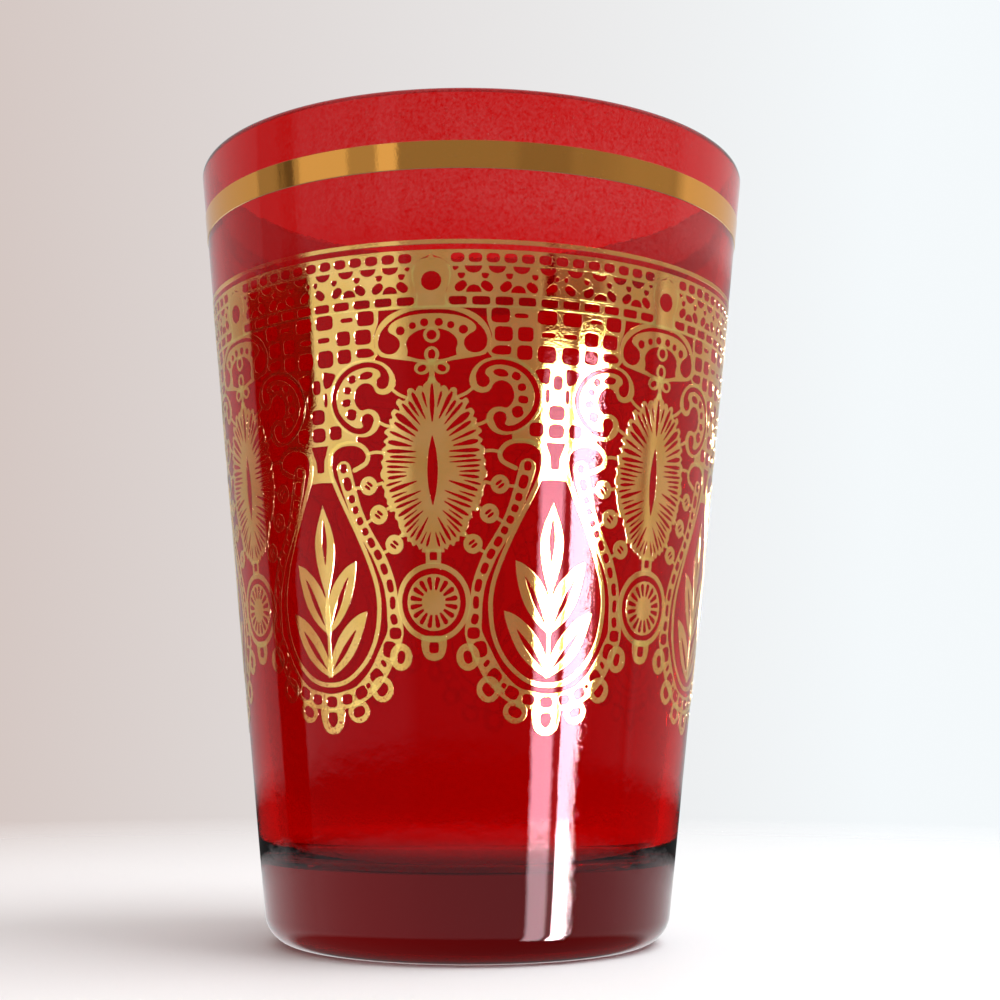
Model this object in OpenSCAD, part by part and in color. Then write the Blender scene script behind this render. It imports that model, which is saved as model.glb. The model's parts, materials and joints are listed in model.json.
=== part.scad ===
// Moroccan tea glass: a red tapered glass with a fired-on gold rim band,
// a border line and a lace ornament that repeats round the wall.
// Origin: middle of the foot, on the table. +Z up, -Y faces the viewer.

/* [Glass] */
// Height from the table to the rim
glass_h = 85.4; // [70:0.1:100]
// Outer diameter at the mouth
mouth_d = 62; // [50:0.5:75]
// Outer diameter of the cone where it meets the table plane
foot_d = 43.4; // [36:0.1:54]
// Wall thickness at the mouth
rim_wall = 1.6; // [1.2:0.1:2.6]
// Wall thickness just above the floor
foot_wall = 2.2; // [1.6:0.1:3.2]
// Thickness of the solid foot
floor_t = 8.8; // [6:0.1:14]
// Radius of the rounded heel
heel_r = 3.5; // [1.5:0.1:5]
// Radius between the floor and the wall inside
well_r = 3; // [1.5:0.1:5]
// Depth of the shallow hollow under the foot
kick_depth = 0.7; // [0.3:0.1:1.5]
// Width of the ring that the glass stands on
stand_w = 3; // [2:0.1:5]

/* [Gold lines] */
// Thickness of the fired-on gold
gold_t = 0.12; // [0.08:0.01:0.2]
// From the rim down to the top of the rim band
rim_band_drop = 5.4; // [3:0.1:9]
// Width of the rim band
rim_band_w = 2.75; // [1.5:0.05:4]
// From the rim down to the top of the border line
border_drop = 15.05; // [12:0.05:20]
// Width of the border line
border_w = 0.5; // [0.3:0.05:1]

/* [Lace] */
// Repeats of the lace round the glass
repeats = 7; // [6:1:8]
// Height at which the drawing of the lace starts
lace_z = 20; // [16:0.1:24]
// Height of the drawing of the lace
lace_h = 50; // [42:0.1:54]

/* [Hidden] */
$fn = 48;

mouth_r = mouth_d / 2;
foot_r = foot_d / 2;
half_turn = 180 / repeats;
overrun = gold_t * 4;
push_from = foot_r * cos(half_turn) - overrun;
glass_red = [0.62, 0.02, 0.03, 0.75];
gold = [0.85, 0.66, 0.32];

// Every place in the lace is a share of the height of the drawing.
// This is the width of half a repeat in those shares.
half_share = 0.2424;

// Courses of the lace: their lower and upper edges.
cell_border_share = [0.957, 0.987];
star_lattice_share = [0.900, 0.957];
brick_course_share = [0.877, 0.900];
net_share = [0.616, 0.877];

// Cell border: height, width and height of one cell.
row_cells = 15;
row_cell_share = [0.969, 0.025, 0.0195];

// Star lattice: height, half width and half height, and places from the leaf axis.
cup_share = [0.9544, 0.0155, 0.0135];
cup_places_share = [0.0266, 0.0766, 0.1216, 0.165];
petal_share = [0.918, 0.011, 0.013];
petal_places_share = [0.018, 0.056, 0.105, 0.140, 0.188];

// Brick course: height, width and height of a slot, and the pitch.
brick_share = [0.887, 0.033, 0.016];
brick_pitch_share = 0.043;

// Square net, from the leaf axis: its edge, and middle, width and height of each cell.
net_edge_share = [
    [0, 0.877], [0.242, 0.877], [0.242, 0.780], [0.130, 0.700], [0.072, 0.640], [0.070, 0.622],
    [0.038, 0.620], [0, 0.620]
];
net_cells_share = [
    [0.025, 0.860, 0.039, 0.029], [0.115, 0.860, 0.034, 0.029], [0.066, 0.825, 0.030, 0.028],
    [0.112, 0.823, 0.040, 0.029], [0.024, 0.787, 0.037, 0.034], [0.067, 0.788, 0.030, 0.028],
    [0.026, 0.745, 0.020, 0.029], [0.021, 0.706, 0.008, 0.026], [0.042, 0.641, 0.032, 0.031],
    [0.022, 0.825, 0.027, 0.010], [0.075, 0.859, 0.026, 0.008], [0.118, 0.791, 0.040, 0.019]
];
net_middle_share = [
    [0, 0.733, 0.020, 0.028], [0, 0.674, 0.034, 0.029], [0, 0.638, 0.034, 0.025]
];

// Plaque: a solid dome with one round hole, and a neck up to the edge of the lace.
plaque_share = [
    [0, 0.992], [0.010, 0.992], [0.011, 0.974], [0.018, 0.971], [0.030, 0.959], [0.036, 0.940],
    [0.028, 0.900], [0.040, 0.877]
];
plaque_hole_share = [0, 0.926, 0.0187];

// Crown arch, right half from the top down.
arch_edge_share = [
    [0, 0.877], [0.032, 0.876], [0.062, 0.868], [0.088, 0.853], [0.105, 0.836], [0.111, 0.817],
    [0.108, 0.798], [0.097, 0.777], [0.040, 0.768]
];
arch_gap_share = [
    [0, 0.871], [0.034, 0.869], [0.062, 0.860], [0.086, 0.844], [0.102, 0.824], [0.102, 0.804],
    [0.090, 0.788], [0.072, 0.786], [0.062, 0.800], [0.072, 0.818], [0.080, 0.832], [0.060, 0.850],
    [0.032, 0.859], [0, 0.862]
];
arch_holes_share = [[0.013, 0.846, 0.0075], [0.034, 0.840, 0.0070], [0.058, 0.8305, 0.0085]];
arch_window_share = [
    [0, 0.832], [0.016, 0.831], [0.031, 0.826], [0.043, 0.817], [0.048, 0.805], [0.0455, 0.792],
    [0.0465, 0.781], [0.026, 0.776], [0, 0.774]
];
arch_ring_share = [0, 0.8204, 0.0160, 0.0090];
arch_drop_share = [0, 0.7845, 0.0150, 0.0070];
arch_leaf_share = [0.019, 0.756, 0.0155, 0.0070];
arch_stem_share = [[0.005, 0.770], [0.005, 0.722]];

// Side scroll: a C open towards the sunburst, as discs less a crescent gap.
scroll_share = [0.134, 0.703, 0.078];
scroll_hollow_share = [0.131, 0.704, 0.025];
scroll_mouth_share = [
    [0.048, 0.752], [0.080, 0.752], [0.096, 0.732], [0.126, 0.726], [0.120, 0.682], [0.132, 0.659],
    [0.110, 0.640], [0.104, 0.615], [0.048, 0.640]
];
scroll_lobes_share = [[0.096, 0.732, 0.024], [0.132, 0.659, 0.023]];
scroll_gap_share = [
    [0.097, 0.728, 0.0120], [0.091, 0.745, 0.0080], [0.101, 0.759, 0.0050], [0.134, 0.765, 0.0050],
    [0.170, 0.753, 0.0050], [0.195, 0.727, 0.0052], [0.201, 0.700, 0.0052], [0.192, 0.670, 0.0050],
    [0.166, 0.645, 0.0050], [0.140, 0.639, 0.0060], [0.128, 0.646, 0.0090], [0.133, 0.660, 0.0130]
];
scroll_cells_share = [
    [0.129, 0.746, 0.024, 0.012, 0], [0.160, 0.741, 0.014, 0.014, 45], [0.171, 0.720, 0.016, 0.013, 0],
    [0.174, 0.696, 0.018, 0.013, 0], [0.164, 0.672, 0.018, 0.018, 45]
];

// Sunburst: middle, half width, reach up and reach down, and its slits and eye.
rays = 26;
sun_share = [0, 0.563, 0.103, 0.163, 0.158];
sun_notch_share = 0.93;
sun_slit_share = [0.48, 0.90, 0.2];
sun_eye_share = [[0, 0.624], [0.010, 0.590], [0.010, 0.530], [0, 0.492]];

// Beads: small rings, and the bars that tie the motifs together.
bead_ring_share = [0.019, 0.0095];
bar_w_share = 0.008;
beads_share = [[0.132, 0.531], [0.112, 0.473], [0.080, 0.415]];
bars_share = [
    [[0.150, 0.531], [0.166, 0.529]], [[0.094, 0.407], [0.106, 0.401]], [[0.130, 0.467], [0.140, 0.463]],
    [[0.100, 0.598], [0.134, 0.598]], [[0.078, 0.640], [0.114, 0.656]], [[0.056, 0.690], [0.082, 0.718]]
];

// Rosette under the sunburst: disc, gap and ring, slots, link and loop.
rosette_share = [0, 0.301];
rosette_rings_share = [0.0545, 0.0665, 0.0770];
rosette_slots = 14;
rosette_slot_share = [0.028, 0.046, 0.007];
rosette_link_share = [[0.016, 0.406], [0.016, 0.370]];
rosette_loop_share = [0, 0.212, 0.025, 0.012];

// Teardrop frame, from the leaf axis: a thin line with a curled top, and a ladder.
frame_top_share = 0.625;
frame_reach_share = 0.200;
frame_line_share = [
    [0, 0.144], [0.040, 0.150], [0.076, 0.172], [0.106, 0.210], [0.122, 0.255], [0.1254, 0.295],
    [0.120, 0.340], [0.091, 0.418], [0.053, 0.496], [0.030, 0.550], [0.025, 0.588], [0.040, 0.610],
    [0.070, 0.616], [0.100, 0.609], [0.111, 0.590], [0.098, 0.569], [0.083, 0.562]
];
frame_line_w_share = 0.010;
ladder_share = [
    [0, 0.110, 0.017], [0.050, 0.116, 0.017], [0.090, 0.136, 0.019], [0.130, 0.182, 0.020],
    [0.156, 0.236, 0.019], [0.158, 0.280, 0.014], [0.153, 0.322, 0.013], [0.138, 0.369, 0.014],
    [0.099, 0.443, 0.015], [0.076, 0.497, 0.015], [0.060, 0.552, 0.016], [0.052, 0.584, 0.012]
];
ladder_foot_share = [0, 0.110, 0.030, 0.020];
ladder_cells_share = [
    [0.041, 0.115, 0.027, 0.020, 8], [0.077, 0.129, 0.027, 0.022, 28], [0.112, 0.158, 0.026, 0.024, 45],
    [0.142, 0.204, 0.026, 0.026, 60], [0.157, 0.243, 0.020, 0.024, 0], [0.157, 0.279, 0.014, 0.024, 0],
    [0.153, 0.318, 0.012, 0.028, 5], [0.142, 0.359, 0.013, 0.026, 18], [0.124, 0.397, 0.014, 0.022, 27],
    [0.107, 0.430, 0.014, 0.020, 27], [0.090, 0.463, 0.014, 0.020, 25], [0.076, 0.497, 0.014, 0.020, 22],
    [0.064, 0.538, 0.016, 0.026, 16]
];

// Loops under the teardrop frame: middle, outer and inner radius.
picots_share = [
    [0, 0.084, 0.031, 0.014], [0.072, 0.100, 0.030, 0.014], [0.128, 0.140, 0.027, 0.013],
    [0.176, 0.198, 0.024, 0.011]
];

// Leaf spray, right half: a top leaf, two side leaves, their slits and the stem.
top_leaf_share = [[0, 0.500], [0.019, 0.450], [0.0245, 0.420], [0.022, 0.380], [0.004, 0.318]];
top_slit_share = [[0, 0.464], [0.0065, 0.425], [0, 0.384]];
upper_leaf_share = [
    [0.004, 0.318], [0.026, 0.352], [0.048, 0.373], [0.077, 0.386], [0.074, 0.335], [0.057, 0.288],
    [0.030, 0.254], [0, 0.241]
];
upper_slit_share = [[0.058, 0.352], [0.030, 0.312], [0.011, 0.264], [0.042, 0.302]];
lower_leaf_share = [
    [0.004, 0.194], [0.030, 0.236], [0.060, 0.268], [0.098, 0.288], [0.090, 0.248], [0.066, 0.200],
    [0.034, 0.169], [0, 0.156]
];
lower_slit_share = [[0.071, 0.248], [0.034, 0.208], [0.013, 0.176], [0.050, 0.210]];
leaf_stem_share = [[0, 0.246], [0, 0.190]];

// Outer radius of the glass at a height.
function cone_r(z) = foot_r + (mouth_r - foot_r) * z / glass_h;

// Height on the glass of a place in the drawing.
function up(share) = lace_z + share * lace_h;

// A place in the drawing, seen square on from in front of its repeat.
function wrap(p) = [cone_r(up(p[1])) * sin(p[0] / half_share * half_turn), up(p[1])];

// The mirror image of an outline in the middle of its repeat.
function flip(points) = [for (i = [len(points) - 1:-1:0]) [-points[i][0], points[i][1]]];

// An outline of both halves from its right half, drawn from top to bottom.
function both(points) = concat(points, flip(points));

// Points on a circle from one angle to another.
function arc(c, r, a0, a1, n) =
    [for (i = [0:n]) c + r * [cos(a0 + (a1 - a0) * i / n), sin(a0 + (a1 - a0) * i / n)]];

// A line moved sideways by w, to its left where w is positive.
function beside(p, w) = let (m = len(p) - 1)
    [for (i = [0:m]) let (d = p[min(i + 1, m)] - p[max(i - 1, 0)])
        p[i] + w * [-d[1], d[0]] / norm(d)];

// The outline of a ribbon of one width along a line.
function ribbon(p, w) = let (r = beside(p, -w / 2), l = beside(p, w / 2), m = len(p) - 1)
    concat(r, [for (i = [m:-1:0]) l[i]]);

// A place in the drawing, as seen from the next axis on the right.
function beyond(points) = [for (p = points) [half_share - p[0], p[1]]];

// The outline of a ribbon whose half width is the third number of each point.
function swell(p) = let (m = len(p) - 1,
        d = [for (i = [0:m]) p[min(i + 1, m)] - p[max(i - 1, 0)]],
        n = [for (v = d) [-v[1], v[0]] / norm([v[0], v[1]])])
    concat([for (i = [0:m]) [p[i][0], p[i][1]] - n[i] * p[i][2]],
        [for (i = [m:-1:0]) [p[i][0], p[i][1]] + n[i] * p[i][2]]);

// The corners of a cell: middle, width, height and turn.
function corners(c) = let (t = len(c) > 4 ? c[4] : 0)
    [for (q = [[-1, -1], [1, -1], [1, 1], [-1, 1]]) let (x = q[0] * c[2] / 2, y = q[1] * c[3] / 2)
        [c[0] + x * cos(t) - y * sin(t), c[1] + x * sin(t) + y * cos(t)]];

// The corners of a straight bar between two places.
function bar(a, b, w) = let (n = [a[1] - b[1], b[0] - a[0]] / norm(b - a) * w / 2)
    [a + n, a - n, b - n, b + n];

// Flat outlines, set out on the glass.
module shape(points) {
    polygon([for (p = points) wrap(p)]);
}

module dot(c, r) {
    translate(wrap(c)) circle(r * lace_h);
}

module cells(places) {
    for (c = places) shape(corners(c));
}

module mirrored() {
    children();
    mirror([1, 0, 0]) children();
}

// A ring of gold film round the glass between two heights.
module film(z0, z1, turn = 360) {
    rotate([0, 0, -90 - turn / 2])
        rotate_extrude(angle = turn, $fn = 180)
            polygon([
                [cone_r(z0), z0],
                [cone_r(z0) + gold_t, z0],
                [cone_r(z1) + gold_t, z1],
                [cone_r(z1), z1]
            ]);
}

// A flat drawing pushed out through the wall on the viewer's side.
module push_out() {
    rotate([90, 0, 0])
        translate([0, 0, push_from])
            linear_extrude(mouth_r + overrun - push_from)
                children();
}

// Once in each repeat. The sunburst faces the viewer at shift 0, the leaves at shift 1.
module around(shift = 0) {
    for (i = [0:repeats - 1])
        rotate([0, 0, (2 * i + shift) * half_turn])
            children();
}

// The film between two heights, as far as a flat drawing covers it.
module pressed(low, high, shift = 0, reach = half_share) {
    around(shift)
        intersection() {
            film(up(low), up(high), 2 * reach / half_share * half_turn);
            push_out() children();
        }
}

// A course of the lace: a ring of film without its cells and its plaques.
module course(low, high) {
    around(1)
        difference() {
            film(up(low), up(high), 2 * half_turn);
            push_out() {
                children();
                mirrored()
                    shape(beyond(both(plaque_share)));
            }
        }
}

module glass_body() {
    stand_r = cone_r(heel_r) - heel_r;
    rim_r = rim_wall / 2;
    rim_z = glass_h - rim_r;
    well_edge_r = cone_r(floor_t + well_r) - foot_wall - well_r;
    color(glass_red)
        rotate_extrude($fn = 180)
            polygon(concat(
                [[0, kick_depth], [stand_r - stand_w, kick_depth], [stand_r - stand_w + kick_depth, 0]],
                arc([stand_r, heel_r], heel_r, -90, 0, 8),
                arc([cone_r(rim_z) - rim_r, rim_z], rim_r, 0, 180, 12),
                arc([well_edge_r, floor_t + well_r], well_r, 0, -90, 8),
                [[0, floor_t]]
            ));
}

module rim_band() {
    color(gold)
        film(glass_h - rim_band_drop - rim_band_w, glass_h - rim_band_drop);
}

module border_line() {
    color(gold)
        film(glass_h - border_drop - border_w, glass_h - border_drop);
}

module cell_border() {
    pitch = 2 * half_share / row_cells;
    last = (row_cells - 1) / 2;
    color(gold)
        course(cell_border_share[0], cell_border_share[1])
            cells([for (i = [-last:last]) concat(i * pitch, row_cell_share)]);
}

module star_lattice() {
    color(gold)
        course(star_lattice_share[0], star_lattice_share[1])
            mirrored() {
                for (x = cup_places_share)
                    shape([[x - cup_share[1], cup_share[0]], [x, cup_share[0] - cup_share[2]],
                        [x + cup_share[1], cup_share[0]]]);
                for (x = petal_places_share)
                    shape([[x - petal_share[1], petal_share[0]], [x, petal_share[0] - petal_share[2]],
                        [x + petal_share[1], petal_share[0]], [x, petal_share[0] + petal_share[2]]]);
            }
}

module brick_course() {
    color(gold)
        course(brick_course_share[0], brick_course_share[1])
            cells([for (i = [-4.5:4.5]) concat(i * brick_pitch_share, brick_share)]);
}

module square_net() {
    color(gold)
        pressed(net_share[0], net_share[1], 1)
            difference() {
                shape(both(net_edge_share));
                mirrored() {
                    cells(net_cells_share);
                    shape(beyond(both(arch_edge_share)));
                    dot(beyond([scroll_share])[0], scroll_share[2]);
                }
                cells(net_middle_share);
            }
}

module plaques() {
    color(gold)
        pressed(net_share[1], cell_border_share[1])
            difference() {
                shape(both(plaque_share));
                dot(plaque_hole_share, plaque_hole_share[2]);
            }
}

module crown_arches() {
    color(gold)
        pressed(sun_share[1] + sun_share[3], net_share[1])
            difference() {
                union() {
                    difference() {
                        shape(both(arch_edge_share));
                        shape(both(arch_gap_share));
                        shape(both(arch_window_share));
                        mirrored()
                            for (h = arch_holes_share) dot(h, h[2]);
                    }
                    shape(both(arch_stem_share));
                    dot(arch_ring_share, arch_ring_share[2]);
                    dot(arch_drop_share, arch_drop_share[2]);
                    mirrored()
                        dot(arch_leaf_share, arch_leaf_share[2]);
                }
                dot(arch_ring_share, arch_ring_share[3]);
                dot(arch_drop_share, arch_drop_share[3]);
                mirrored()
                    dot(arch_leaf_share, arch_leaf_share[3]);
            }
}

module side_scrolls() {
    color(gold)
        pressed(scroll_share[1] - scroll_share[2], scroll_share[1] + scroll_share[2])
            mirrored()
                difference() {
                    union() {
                        difference() {
                            dot(scroll_share, scroll_share[2]);
                            dot(scroll_hollow_share, scroll_hollow_share[2]);
                            shape(scroll_mouth_share);
                        }
                        for (l = scroll_lobes_share) dot(l, l[2]);
                    }
                    shape(swell(scroll_gap_share));
                    cells(scroll_cells_share);
                }
}

// A point on the oval edge of the sunburst at an angle, on a share of its size.
function sun_edge(a, k) = let (high = sin(a) > 0 ? sun_share[3] : sun_share[4])
    [sun_share[0] + k * sun_share[2] * cos(a), sun_share[1] + k * high * sin(a)];

module sunbursts() {
    step = 360 / rays;
    color(gold)
        pressed(sun_share[1] - sun_share[4], sun_share[1] + sun_share[3])
            difference() {
                shape([for (i = [0:rays - 1]) for (k = [0, 1])
                    sun_edge(90 + (i + k / 2) * step, k == 0 ? 1 : sun_notch_share)]);
                for (i = [0:rays - 1])
                    shape([
                        sun_edge(90 + i * step, sun_slit_share[0]),
                        sun_edge(90 + (i - sun_slit_share[2]) * step, sun_slit_share[1]),
                        sun_edge(90 + (i + sun_slit_share[2]) * step, sun_slit_share[1])
                    ]);
                shape(both(sun_eye_share));
            }
}

module bead_links() {
    color(gold)
        pressed(beads_share[2][1] - bead_ring_share[0], bars_share[3][1][1] + bar_w_share)
            mirrored() {
                for (b = beads_share)
                    difference() {
                        dot(b, bead_ring_share[0]);
                        dot(b, bead_ring_share[1]);
                    }
                for (b = bars_share) shape(bar(b[0], b[1], bar_w_share));
            }
}

module rosettes() {
    color(gold)
        pressed(rosette_loop_share[1] - rosette_loop_share[2], rosette_link_share[1][1])
            union() {
                difference() {
                    union() {
                        dot(rosette_share, rosette_rings_share[2]);
                        dot(rosette_loop_share, rosette_loop_share[2]);
                        shape(both(rosette_link_share));
                    }
                    dot(rosette_share, rosette_rings_share[1]);
                    dot(rosette_loop_share, rosette_loop_share[3]);
                }
                difference() {
                    dot(rosette_share, rosette_rings_share[0]);
                    for (i = [0:rosette_slots - 1]) let (a = 360 * (i + 0.5) / rosette_slots)
                        shape(bar(
                            rosette_share + rosette_slot_share[0] * [cos(a), sin(a)],
                            rosette_share + rosette_slot_share[1] * [cos(a), sin(a)],
                            rosette_slot_share[2]
                        ));
                }
            }
}

module frame_line() {
    shape(ribbon(concat(flip(frame_line_share), [for (i = [1:len(frame_line_share) - 1])
        frame_line_share[i]]), frame_line_w_share));
}

module ladder() {
    shape(swell(concat(
        [for (i = [len(ladder_share) - 1:-1:1]) let (p = ladder_share[i]) [-p[0], p[1], p[2]]],
        ladder_share
    )));
}

module teardrop_frames() {
    color(gold)
        pressed(ladder_share[0][1] - ladder_share[0][2], frame_top_share, 1, frame_reach_share) {
            frame_line();
            difference() {
                ladder();
                cells([ladder_foot_share]);
                mirrored() cells(ladder_cells_share);
            }
        }
}

module picot_loops() {
    color(gold)
        pressed(picots_share[0][1] - picots_share[0][2], picots_share[3][1] + picots_share[3][2], 1)
            mirrored()
                for (p = picots_share)
                    difference() {
                        dot(p, p[2]);
                        dot(p, p[3]);
                        ladder();
                    }
}

module leaf_sprays() {
    color(gold)
        pressed(lower_leaf_share[len(lower_leaf_share) - 1][1], top_leaf_share[0][1], 1)
            difference() {
                union() {
                    shape(both(top_leaf_share));
                    shape(both(upper_leaf_share));
                    shape(both(lower_leaf_share));
                    shape(bar(leaf_stem_share[0], leaf_stem_share[1], bar_w_share));
                }
                shape(both(top_slit_share));
                mirrored() {
                    shape(upper_slit_share);
                    shape(lower_slit_share);
                }
            }
}

glass_body();
rim_band();
border_line();
cell_border();
star_lattice();
brick_course();
square_net();
plaques();
crown_arches();
side_scrolls();
sunbursts();
bead_links();
rosettes();
teardrop_frames();
picot_loops();
leaf_sprays();
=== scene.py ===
# Looks of the tea glass: red glass body, fired-on gold, plain pale studio.
import json
import math
import bpy
from mathutils import Matrix, Vector

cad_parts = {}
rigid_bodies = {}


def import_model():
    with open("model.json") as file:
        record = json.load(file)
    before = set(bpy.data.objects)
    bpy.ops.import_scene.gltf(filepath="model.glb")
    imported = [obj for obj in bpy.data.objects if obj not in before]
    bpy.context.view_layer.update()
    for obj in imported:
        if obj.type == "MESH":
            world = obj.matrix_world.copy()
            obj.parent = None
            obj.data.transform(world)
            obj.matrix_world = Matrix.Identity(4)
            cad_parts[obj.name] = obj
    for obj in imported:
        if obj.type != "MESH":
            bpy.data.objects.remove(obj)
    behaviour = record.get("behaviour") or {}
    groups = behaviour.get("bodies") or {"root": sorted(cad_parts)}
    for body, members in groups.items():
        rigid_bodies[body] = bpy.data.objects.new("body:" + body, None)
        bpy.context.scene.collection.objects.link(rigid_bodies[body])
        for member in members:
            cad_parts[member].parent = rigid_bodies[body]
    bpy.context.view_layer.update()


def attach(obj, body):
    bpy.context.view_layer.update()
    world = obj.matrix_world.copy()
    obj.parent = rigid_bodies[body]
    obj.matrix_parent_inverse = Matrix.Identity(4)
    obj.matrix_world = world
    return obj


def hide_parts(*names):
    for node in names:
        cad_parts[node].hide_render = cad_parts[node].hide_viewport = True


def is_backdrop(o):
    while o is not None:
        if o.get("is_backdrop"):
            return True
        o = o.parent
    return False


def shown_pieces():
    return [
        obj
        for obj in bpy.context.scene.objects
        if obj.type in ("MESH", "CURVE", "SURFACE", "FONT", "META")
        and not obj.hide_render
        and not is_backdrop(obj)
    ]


for left_over in list(bpy.data.objects):
    bpy.data.objects.remove(left_over)
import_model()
scene = bpy.context.scene

# Sizes in millimetres, as in the part's source.
GLASS_H = 85.4
MOUTH_R = 31.0
FOOT_R = 21.7
RIM_WALL = 1.6
FOOT_WALL = 2.2
FLOOR = 8.8
HEEL_R = 3.5
WELL_R = 3.0
KICK = 0.7
STAND_W = 3.0
RIM_BAND_DROP, RIM_BAND_W = 5.4, 2.75
BORDER_DROP, BORDER_W = 15.05, 0.5
REPEATS = 7
SLOPE = (MOUTH_R - FOOT_R) / GLASS_H
LEAN = math.atan(SLOPE)
TURN = 2 * math.pi / REPEATS
MM = 0.001

# The lace is drawn flat at one radius, across from the axis of a motif and up from the table.
WRAP_R = 27.0
HALF = WRAP_R * TURN / 2

# Gold film
EDGE = 0.085           # width of its soft edge
FINE_EDGE = 0.05       # the same where slits lie close together
STRAIGHT = 0.15        # straight part of the edge, as a share of the soft edge
FILM = 0.06            # half its thickness; the middle lies on the wall
SCORE = 1.1            # the flat gold is scored this far apart before it is bent

AROUND = 256           # steps of a turned piece
MERGE = 0.0005         # points closer than this are one
SEE_FROM = math.radians(7.863)       # the photo's side lies this far round from -Y


def cone_r(z):
    """Outer radius of the glass at a height."""
    return FOOT_R + SLOPE * z


# Handling of pieces
def only(piece):
    bpy.ops.object.select_all(action="DESELECT")
    piece.select_set(True)
    bpy.context.view_layer.objects.active = piece


def edit(piece):
    only(piece)
    bpy.ops.object.mode_set(mode="EDIT")
    bpy.ops.mesh.select_all(action="SELECT")


def leave():
    bpy.ops.object.mode_set(mode="OBJECT")


def joined(name, pieces):
    bpy.ops.object.select_all(action="DESELECT")
    for p in pieces:
        p.select_set(True)
    bpy.context.view_layer.objects.active = pieces[0]
    if len(pieces) > 1:
        bpy.ops.object.join()
    whole = bpy.context.view_layer.objects.active
    whole.name = whole.data.name = name
    return whole


def turned_left(points):
    """The same outline, run anticlockwise, so that every soft edge falls inside the gold."""
    swept = sum(a[0] * b[1] - b[0] * a[1] for a, b in zip(points, points[1:] + points[:1]))
    return points if swept > 0 else points[::-1]


def outline_curve(name, outlines, closed=True):
    line = bpy.data.curves.new(name, "CURVE")
    line.dimensions = "2D" if closed else "3D"
    for outline in outlines:
        spline = line.splines.new("POLY")
        spline.points.add(len(outline) - 1)
        for point, (x, z) in zip(spline.points, outline):
            point.co = (x, z, 0, 1)
        spline.use_cyclic_u = closed
    piece = bpy.data.objects.new(name, line)
    scene.collection.objects.link(piece)
    return piece


# Drawing
def arc(cx, cz, r, a0, a1, n):
    return [(cx + r * math.cos(math.radians(a0 + (a1 - a0) * i / n)),
             cz + r * math.sin(math.radians(a0 + (a1 - a0) * i / n))) for i in range(n + 1)]


def smooth(points, closed=True, steps=4):
    """A soft line through given points. A point set twice is a corner."""
    n, out = len(points), []
    for i in range(n if closed else n - 1):
        if closed:
            a, b, c, d = (points[(i + k) % n] for k in (-1, 0, 1, 2))
        else:
            a, b, c, d = (points[min(max(i + k, 0), n - 1)] for k in (-1, 0, 1, 2))
        if b == c:
            continue
        for k in range(steps):
            t = k / steps
            out.append(tuple(0.5 * (2 * b[j] + (c[j] - a[j]) * t
                                    + (2 * a[j] - 5 * b[j] + 4 * c[j] - d[j]) * t * t
                                    + (3 * b[j] - a[j] - 3 * c[j] + d[j]) * t ** 3)
                             for j in range(len(b))))
    if not closed:
        out.append(points[-1])
    return out


def crisper(points, more):
    """The same line with its waves made deeper."""
    inner = []
    for a, b, c in zip(points, points[1:], points[2:]):
        middle_x, middle_z = (a[0] + c[0]) / 2, (a[1] + c[1]) / 2
        inner.append((b[0] + more * (b[0] - middle_x), b[1] + more * (b[1] - middle_z)))
    return points[:1] + inner + points[-1:]


def flip(points):
    return [(-p[0], *p[1:]) for p in reversed(points)]


def both(half):
    """Closes an outline drawn from the axis round to the axis on one side."""
    return half + [p for p in flip(half) if abs(p[0]) > 1e-6]


def cell(x, z, w, h, turn=0.0, soft=3.2, n=16):
    """An opening between a box and an oval."""
    c, s = math.cos(math.radians(turn)), math.sin(math.radians(turn))
    out = []
    for i in range(n):
        a = 2 * math.pi * (i + 0.5) / n
        u = w / 2 * math.copysign(abs(math.cos(a)) ** (2 / soft), math.cos(a))
        v = h / 2 * math.copysign(abs(math.sin(a)) ** (2 / soft), math.sin(a))
        out.append((x + u * c - v * s, z + u * s + v * c))
    return out


def disc(x, z, r, n=24, rz=None):
    return [(x + r * math.cos(2 * math.pi * i / n),
             z + (rz or r) * math.sin(2 * math.pi * i / n)) for i in range(n)]


def ribbon(points, width=None, steps=4, ends=True):
    """The outline of a soft line. Each point is x, z and half width."""
    path = smooth([p if len(p) == 3 else (p[0], p[1], width / 2) for p in points], False, steps)
    left, right = [], []
    m = len(path) - 1
    for i, (x, z, w) in enumerate(path):
        a, b = path[max(i - 1, 0)], path[min(i + 1, m)]
        dx, dz = b[0] - a[0], b[1] - a[1]
        size = math.hypot(dx, dz) or 1
        nx, nz = -dz / size, dx / size
        left.append((x + nx * w, z + nz * w))
        right.append((x - nx * w, z - nz * w))
    if not ends:
        return left + right[::-1]

    def cap(i, j):
        x, z, w = path[i]
        dx, dz = x - path[j][0], z - path[j][1]
        a = math.degrees(math.atan2(dz, dx))
        return arc(x, z, w, a + 90, a - 90, 6)[1:-1]
    return left + cap(m, m - 1) + right[::-1] + cap(0, 1)


def slit(x0, z0, x1, z1, w):
    """A thin ray, widest nearer its outer end x0, z0."""
    def along(share, half):
        return x0 * (1 - share) + x1 * share, z0 * (1 - share) + z1 * share, half
    return ribbon([along(0, w * 0.2), along(0.15, w * 0.45), along(0.4, w * 0.5), along(1, w * 0.12)],
                  steps=2, ends=False)


def on_side(side, points):
    """The same outline on the right, 1, or mirrored on the left, -1."""
    return [(side * x, z) for x, z in points]


def pair(outlines):
    return outlines + [flip(o) for o in outlines]


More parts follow.
